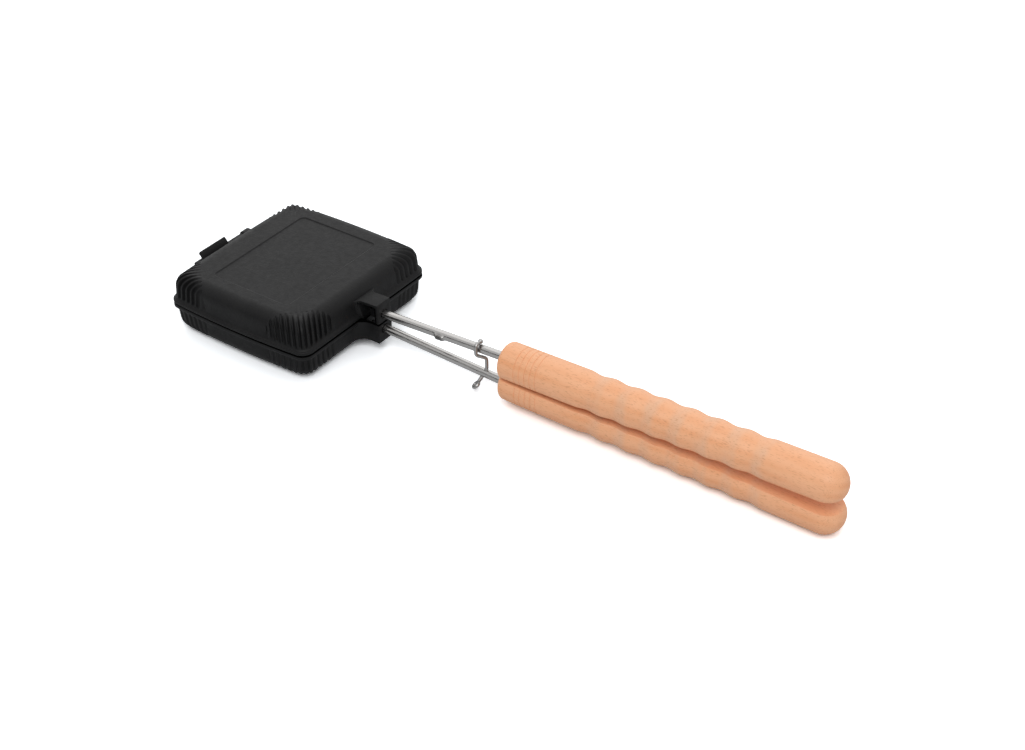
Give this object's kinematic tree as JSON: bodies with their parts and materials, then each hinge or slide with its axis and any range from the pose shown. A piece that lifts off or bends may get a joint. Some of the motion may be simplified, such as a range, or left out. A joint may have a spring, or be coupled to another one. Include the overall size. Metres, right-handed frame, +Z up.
{
  "type": "pie iron",
  "caption": "Long-handled cast-iron pie iron: two hinged pans on steel rods with waved wooden grips, held shut by a swivelling wire latch.",
  "frame": {"origin": "on the surface that the iron lies on, under the middle of its overall length and width", "axes": "+X from the hinge towards the ends of the grips, +Y to the left when looking along +X, +Z up"},
  "size_m": [0.4914, 0.1326, 0.0486],
  "materials": {
    "iron": "oiled satin black",
    "steel": "drawn bright",
    "fastener": "blackened",
    "wood": "sanded beech, lightly oiled",
    "wire": "plain drawn wire"
  },
  "bodies": {
    "lower": {"lower_shell": "iron", "lower_rod": "steel", "lower_washer": "fastener", "lower_nut": "fastener", "lower_grip": "wood"},
    "upper": {"upper_shell": "iron", "upper_rod": "steel", "upper_washer": "fastener", "upper_nut": "fastener", "upper_grip": "wood"},
    "latch": {"latch": "wire"}
  },
  "joints": [
    {"name": "pan_hinge", "type": "hinge", "parent": "lower", "child": "upper", "pos_m": [-0.24284, 0, 0.02864], "axis": [0, -1, 0], "range_deg": [0, 110]},
    {"name": "latch_swivel", "type": "hinge", "parent": "lower", "child": "latch", "pos_m": [-0.01464, 0, 0.01293], "axis": [0.4353, 0, 0.9003], "range_deg": [0, 90]}
  ]
}
